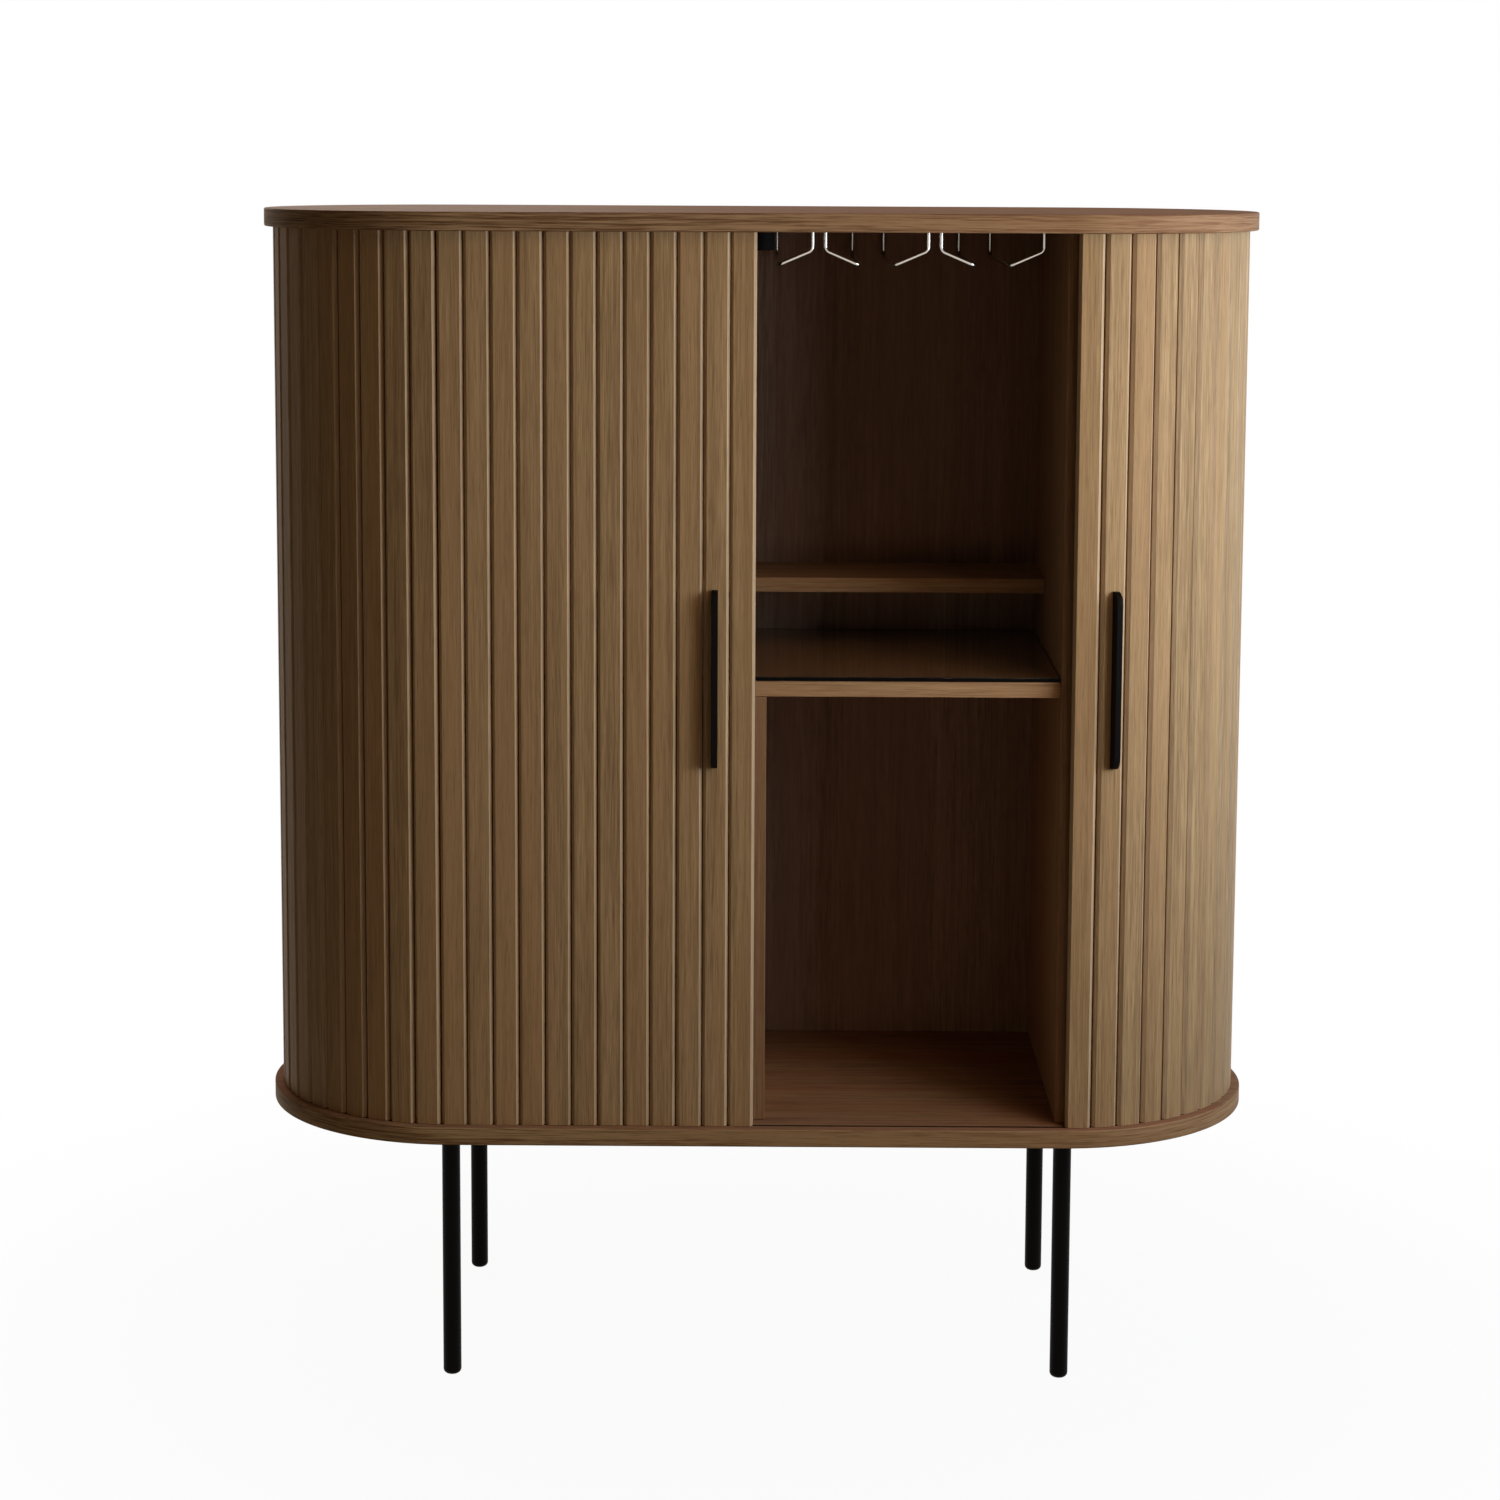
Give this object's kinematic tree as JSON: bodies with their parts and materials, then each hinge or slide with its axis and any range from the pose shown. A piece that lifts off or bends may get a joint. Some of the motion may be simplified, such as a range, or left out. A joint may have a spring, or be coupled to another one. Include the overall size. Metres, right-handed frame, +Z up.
{
  "type": "wine cabinet",
  "caption": "Free-standing wine cabinet with roll-front doors, half-round ends, inner shelves, hanging stemware rails and slim round legs.",
  "frame": {"origin": "on the floor, under the middle of the whole object at rest, handles included", "axes": "+Z up, front towards -Y, +X to the right seen from the front"},
  "size_m": [1, 0.4052, 1.16],
  "materials": {
    "panel_veneer": "satin smoked oak veneer with dark edges",
    "slat_veneer": "satin smoked oak veneer",
    "interior_veneer": "satin dark veneer",
    "smoked_glass": "polished smoked glass",
    "chrome": "bright plated wire",
    "black_powder_coat": "fine matt powder coat",
    "black_rubber": "matt moulded rubber"
  },
  "bodies": {
    "cabinet": {"top_panel": "panel_veneer", "bottom_panel": "panel_veneer", "left_side_board": "interior_veneer", "right_side_board": "interior_veneer", "back_panel": "interior_veneer", "centre_divider": "interior_veneer", "middle_shelf": "interior_veneer", "upper_shelf": "interior_veneer", "glass_plate": "smoked_glass", "glass_rail_1": "chrome", "glass_rail_2": "chrome", "glass_rail_3": "chrome", "glass_rail_4": "chrome", "glass_rail_5": "chrome", "door_buffer": "black_rubber", "front_left_leg": "black_powder_coat", "front_right_leg": "black_powder_coat", "rear_left_leg": "black_powder_coat", "rear_right_leg": "black_powder_coat"},
    "left_door_lead_slat": {"left_door_lead_slat": "slat_veneer"},
    "left_door_slat_02": {"left_door_slat_02": "slat_veneer", "left_handle": "black_powder_coat"},
    "left_door_slat_03": {"left_door_slat_03": "slat_veneer"},
    "left_door_slat_04": {"left_door_slat_04": "slat_veneer"},
    "left_door_slat_05": {"left_door_slat_05": "slat_veneer"},
    "left_door_slat_06": {"left_door_slat_06": "slat_veneer"},
    "left_door_slat_07": {"left_door_slat_07": "slat_veneer"},
    "left_door_slat_08": {"left_door_slat_08": "slat_veneer"},
    "left_door_slat_09": {"left_door_slat_09": "slat_veneer"},
    "left_door_slat_10": {"left_door_slat_10": "slat_veneer"},
    "left_door_slat_11": {"left_door_slat_11": "slat_veneer"},
    "left_door_slat_12": {"left_door_slat_12": "slat_veneer"},
    "left_door_end_section": {"left_door_end_section": "slat_veneer"},
    "left_door_tail_section_1": {"left_door_tail_section_1": "slat_veneer"},
    "left_door_tail_section_2": {"left_door_tail_section_2": "slat_veneer"},
    "left_door_tail_section_3": {"left_door_tail_section_3": "slat_veneer"},
    "left_door_tail_section_4": {"left_door_tail_section_4": "slat_veneer"},
    "left_door_tail_section_5": {"left_door_tail_section_5": "slat_veneer"},
    "left_door_tail_section_6": {"left_door_tail_section_6": "slat_veneer"},
    "right_door_lead_slat": {"right_door_lead_slat": "slat_veneer"},
    "right_door_slat_02": {"right_door_slat_02": "slat_veneer", "right_handle": "black_powder_coat"},
    "right_door_slat_03": {"right_door_slat_03": "slat_veneer"},
    "right_door_slat_04": {"right_door_slat_04": "slat_veneer"},
    "right_door_slat_05": {"right_door_slat_05": "slat_veneer"},
    "right_door_slat_06": {"right_door_slat_06": "slat_veneer"},
    "right_door_slat_07": {"right_door_slat_07": "slat_veneer"},
    "right_door_slat_08": {"right_door_slat_08": "slat_veneer"},
    "right_door_slat_09": {"right_door_slat_09": "slat_veneer"},
    "right_door_slat_10": {"right_door_slat_10": "slat_veneer"},
    "right_door_slat_11": {"right_door_slat_11": "slat_veneer"},
    "right_door_slat_12": {"right_door_slat_12": "slat_veneer"},
    "right_door_end_section": {"right_door_end_section": "slat_veneer"},
    "right_door_tail_section_1": {"right_door_tail_section_1": "slat_veneer"},
    "right_door_tail_section_2": {"right_door_tail_section_2": "slat_veneer"},
    "right_door_tail_section_3": {"right_door_tail_section_3": "slat_veneer"},
    "right_door_tail_section_4": {"right_door_tail_section_4": "slat_veneer"},
    "right_door_tail_section_5": {"right_door_tail_section_5": "slat_veneer"},
    "right_door_tail_section_6": {"right_door_tail_section_6": "slat_veneer"}
  },
  "joints": [
    {"name": "left_door_slide", "type": "slide", "parent": "cabinet", "child": "left_door_lead_slat", "axis": [-1, 0, 0], "range_m": [0, 0.3]},
    {"name": "left_door_slat_02_turn", "type": "hinge", "parent": "cabinet", "child": "left_door_slat_02", "pos_m": [-0.1707, 1.1396, 0.2654], "axis": [0, 0, -1], "range_deg": [0, 12.98]},
    {"name": "left_door_slat_03_turn", "type": "hinge", "parent": "cabinet", "child": "left_door_slat_03", "pos_m": [-0.1835, 0.63123, 0.2654], "axis": [0, 0, -1], "range_deg": [0, 21]},
    {"name": "left_door_slat_04_turn", "type": "hinge", "parent": "cabinet", "child": "left_door_slat_04", "pos_m": [-0.1963, 0.40328, 0.2654], "axis": [0, 0, -1], "range_deg": [0, 29.03]},
    {"name": "left_door_slat_05_turn", "type": "hinge", "parent": "cabinet", "child": "left_door_slat_05", "pos_m": [-0.2091, 0.27394, 0.2654], "axis": [0, 0, -1], "range_deg": [0, 37.05]},
    {"name": "left_door_slat_06_turn", "type": "hinge", "parent": "cabinet", "child": "left_door_slat_06", "pos_m": [-0.2219, 0.19087, 0.2654], "axis": [0, 0, -1], "range_deg": [0, 45.07]},
    {"name": "left_door_slat_07_turn", "type": "hinge", "parent": "cabinet", "child": "left_door_slat_07", "pos_m": [-0.2347, 0.13335, 0.2654], "axis": [0, 0, -1], "range_deg": [0, 53.1]},
    {"name": "left_door_slat_08_turn", "type": "hinge", "parent": "cabinet", "child": "left_door_slat_08", "pos_m": [-0.2475, 0.09156, 0.2654], "axis": [0, 0, -1], "range_deg": [0, 61.12]},
    {"name": "left_door_slat_09_turn", "type": "hinge", "parent": "cabinet", "child": "left_door_slat_09", "pos_m": [-0.2603, 0.06026, 0.2654], "axis": [0, 0, -1], "range_deg": [0, 69.15]},
    {"name": "left_door_slat_10_turn", "type": "hinge", "parent": "cabinet", "child": "left_door_slat_10", "pos_m": [-0.2731, 0.03637, 0.2654], "axis": [0, 0, -1], "range_deg": [0, 77.17]},
    {"name": "left_door_slat_11_turn", "type": "hinge", "parent": "cabinet", "child": "left_door_slat_11", "pos_m": [-0.2859, 0.01799, 0.2654], "axis": [0, 0, -1], "range_deg": [0, 85.19]},
    {"name": "left_door_slat_12_turn", "type": "hinge", "parent": "cabinet", "child": "left_door_slat_12", "pos_m": [-0.2987, 0.00388, 0.2654], "axis": [0, 0, -1], "range_deg": [0, 93.22]},
    {"name": "left_door_end_section_turn", "type": "hinge", "parent": "cabinet", "child": "left_door_end_section", "pos_m": [-0.3, 0.00265, 0.2654], "axis": [0, 0, -1], "range_deg": [0, 94.03]},
    {"name": "left_door_tail_section_1_turn", "type": "hinge", "parent": "cabinet", "child": "left_door_tail_section_1", "pos_m": [-0.29101, -0.00611, 0.2654], "axis": [0, 0, -1], "range_deg": [0, 88.54]},
    {"name": "left_door_tail_section_2_turn", "type": "hinge", "parent": "cabinet", "child": "left_door_tail_section_2", "pos_m": [-0.26534, -0.04399, 0.2654], "axis": [0, 0, -1], "range_deg": [0, 72.49]},
    {"name": "left_door_tail_section_3_turn", "type": "hinge", "parent": "cabinet", "child": "left_door_tail_section_3", "pos_m": [-0.23962, -0.10884, 0.2654], "axis": [0, 0, -1], "range_deg": [0, 56.45]},
    {"name": "left_door_tail_section_4_turn", "type": "hinge", "parent": "cabinet", "child": "left_door_tail_section_4", "pos_m": [-0.21383, -0.22969, 0.2654], "axis": [0, 0, -1], "range_deg": [0, 40.4]},
    {"name": "left_door_tail_section_5_turn", "type": "hinge", "parent": "cabinet", "child": "left_door_tail_section_5", "pos_m": [-0.1878, -0.51237, 0.2654], "axis": [0, 0, -1], "range_deg": [0, 24.35]},
    {"name": "left_door_tail_section_6_turn", "type": "hinge", "parent": "cabinet", "child": "left_door_tail_section_6", "pos_m": [-0.16015, -1.88178, 0.2654], "axis": [0, 0, -1], "range_deg": [0, 8.3]},
    {"name": "right_door_slide", "type": "slide", "parent": "cabinet", "child": "right_door_lead_slat", "axis": [-1, 0, 0], "range_m": [0, 0.3]},
    {"name": "right_door_slat_02_turn", "type": "hinge", "parent": "cabinet", "child": "right_door_slat_02", "pos_m": [0.1707, 1.1396, 0.2654], "axis": [0, 0, -1], "range_deg": [0, 12.98]},
    {"name": "right_door_slat_03_turn", "type": "hinge", "parent": "cabinet", "child": "right_door_slat_03", "pos_m": [0.1835, 0.63123, 0.2654], "axis": [0, 0, -1], "range_deg": [0, 21]},
    {"name": "right_door_slat_04_turn", "type": "hinge", "parent": "cabinet", "child": "right_door_slat_04", "pos_m": [0.1963, 0.40328, 0.2654], "axis": [0, 0, -1], "range_deg": [0, 29.03]},
    {"name": "right_door_slat_05_turn", "type": "hinge", "parent": "cabinet", "child": "right_door_slat_05", "pos_m": [0.2091, 0.27394, 0.2654], "axis": [0, 0, -1], "range_deg": [0, 37.05]},
    {"name": "right_door_slat_06_turn", "type": "hinge", "parent": "cabinet", "child": "right_door_slat_06", "pos_m": [0.2219, 0.19087, 0.2654], "axis": [0, 0, -1], "range_deg": [0, 45.07]},
    {"name": "right_door_slat_07_turn", "type": "hinge", "parent": "cabinet", "child": "right_door_slat_07", "pos_m": [0.2347, 0.13335, 0.2654], "axis": [0, 0, -1], "range_deg": [0, 53.1]},
    {"name": "right_door_slat_08_turn", "type": "hinge", "parent": "cabinet", "child": "right_door_slat_08", "pos_m": [0.2475, 0.09156, 0.2654], "axis": [0, 0, -1], "range_deg": [0, 61.12]},
    {"name": "right_door_slat_09_turn", "type": "hinge", "parent": "cabinet", "child": "right_door_slat_09", "pos_m": [0.2603, 0.06026, 0.2654], "axis": [0, 0, -1], "range_deg": [0, 69.15]},
    {"name": "right_door_slat_10_turn", "type": "hinge", "parent": "cabinet", "child": "right_door_slat_10", "pos_m": [0.2731, 0.03637, 0.2654], "axis": [0, 0, -1], "range_deg": [0, 77.17]},
    {"name": "right_door_slat_11_turn", "type": "hinge", "parent": "cabinet", "child": "right_door_slat_11", "pos_m": [0.2859, 0.01799, 0.2654], "axis": [0, 0, -1], "range_deg": [0, 85.19]},
    {"name": "right_door_slat_12_turn", "type": "hinge", "parent": "cabinet", "child": "right_door_slat_12", "pos_m": [0.2987, 0.00388, 0.2654], "axis": [0, 0, -1], "range_deg": [0, 93.22]},
    {"name": "right_door_end_section_turn", "type": "hinge", "parent": "cabinet", "child": "right_door_end_section", "pos_m": [0.3, 0.00265, 0.2654], "axis": [0, 0, -1], "range_deg": [0, 94.03]},
    {"name": "right_door_tail_section_1_turn", "type": "hinge", "parent": "cabinet", "child": "right_door_tail_section_1", "pos_m": [0.29101, -0.00611, 0.2654], "axis": [0, 0, -1], "range_deg": [0, 88.54]},
    {"name": "right_door_tail_section_2_turn", "type": "hinge", "parent": "cabinet", "child": "right_door_tail_section_2", "pos_m": [0.26534, -0.04399, 0.2654], "axis": [0, 0, -1], "range_deg": [0, 72.49]},
    {"name": "right_door_tail_section_3_turn", "type": "hinge", "parent": "cabinet", "child": "right_door_tail_section_3", "pos_m": [0.23962, -0.10884, 0.2654], "axis": [0, 0, -1], "range_deg": [0, 56.45]},
    {"name": "right_door_tail_section_4_turn", "type": "hinge", "parent": "cabinet", "child": "right_door_tail_section_4", "pos_m": [0.21383, -0.22969, 0.2654], "axis": [0, 0, -1], "range_deg": [0, 40.4]},
    {"name": "right_door_tail_section_5_turn", "type": "hinge", "parent": "cabinet", "child": "right_door_tail_section_5", "pos_m": [0.1878, -0.51237, 0.2654], "axis": [0, 0, -1], "range_deg": [0, 24.35]},
    {"name": "right_door_tail_section_6_turn", "type": "hinge", "parent": "cabinet", "child": "right_door_tail_section_6", "pos_m": [0.16015, -1.88178, 0.2654], "axis": [0, 0, -1], "range_deg": [0, 8.3]}
  ],
  "couplings": [
    {"joint": "left_door_slat_02_turn", "follows": "left_door_slide", "rad_per_m": 0.75492},
    {"joint": "left_door_slat_03_turn", "follows": "left_door_slide", "rad_per_m": 1.2217},
    {"joint": "left_door_slat_04_turn", "follows": "left_door_slide", "rad_per_m": 1.6885},
    {"joint": "left_door_slat_05_turn", "follows": "left_door_slide", "rad_per_m": 2.1554},
    {"joint": "left_door_slat_06_turn", "follows": "left_door_slide", "rad_per_m": 2.6222},
    {"joint": "left_door_slat_07_turn", "follows": "left_door_slide", "rad_per_m": 3.089},
    {"joint": "left_door_slat_08_turn", "follows": "left_door_slide", "rad_per_m": 3.5558},
    {"joint": "left_door_slat_09_turn", "follows": "left_door_slide", "rad_per_m": 4.0226},
    {"joint": "left_door_slat_10_turn", "follows": "left_door_slide", "rad_per_m": 4.4894},
    {"joint": "left_door_slat_11_turn", "follows": "left_door_slide", "rad_per_m": 4.9562},
    {"joint": "left_door_slat_12_turn", "follows": "left_door_slide", "rad_per_m": 5.423},
    {"joint": "left_door_end_section_turn", "follows": "left_door_slide", "rad_per_m": 5.4705},
    {"joint": "left_door_tail_section_1_turn", "follows": "left_door_slide", "rad_per_m": 5.151},
    {"joint": "left_door_tail_section_2_turn", "follows": "left_door_slide", "rad_per_m": 4.2174},
    {"joint": "left_door_tail_section_3_turn", "follows": "left_door_slide", "rad_per_m": 3.2838},
    {"joint": "left_door_tail_section_4_turn", "follows": "left_door_slide", "rad_per_m": 2.3502},
    {"joint": "left_door_tail_section_5_turn", "follows": "left_door_slide", "rad_per_m": 1.4165},
    {"joint": "left_door_tail_section_6_turn", "follows": "left_door_slide", "rad_per_m": 0.48292},
    {"joint": "right_door_slat_02_turn", "follows": "right_door_slide", "rad_per_m": 0.75492},
    {"joint": "right_door_slat_03_turn", "follows": "right_door_slide", "rad_per_m": 1.2217},
    {"joint": "right_door_slat_04_turn", "follows": "right_door_slide", "rad_per_m": 1.6885},
    {"joint": "right_door_slat_05_turn", "follows": "right_door_slide", "rad_per_m": 2.1554},
    {"joint": "right_door_slat_06_turn", "follows": "right_door_slide", "rad_per_m": 2.6222},
    {"joint": "right_door_slat_07_turn", "follows": "right_door_slide", "rad_per_m": 3.089},
    {"joint": "right_door_slat_08_turn", "follows": "right_door_slide", "rad_per_m": 3.5558},
    {"joint": "right_door_slat_09_turn", "follows": "right_door_slide", "rad_per_m": 4.0226},
    {"joint": "right_door_slat_10_turn", "follows": "right_door_slide", "rad_per_m": 4.4894},
    {"joint": "right_door_slat_11_turn", "follows": "right_door_slide", "rad_per_m": 4.9562},
    {"joint": "right_door_slat_12_turn", "follows": "right_door_slide", "rad_per_m": 5.423},
    {"joint": "right_door_end_section_turn", "follows": "right_door_slide", "rad_per_m": 5.4705},
    {"joint": "right_door_tail_section_1_turn", "follows": "right_door_slide", "rad_per_m": 5.151},
    {"joint": "right_door_tail_section_2_turn", "follows": "right_door_slide", "rad_per_m": 4.2174},
    {"joint": "right_door_tail_section_3_turn", "follows": "right_door_slide", "rad_per_m": 3.2838},
    {"joint": "right_door_tail_section_4_turn", "follows": "right_door_slide", "rad_per_m": 2.3502},
    {"joint": "right_door_tail_section_5_turn", "follows": "right_door_slide", "rad_per_m": 1.4165},
    {"joint": "right_door_tail_section_6_turn", "follows": "right_door_slide", "rad_per_m": 0.48292}
  ]
}
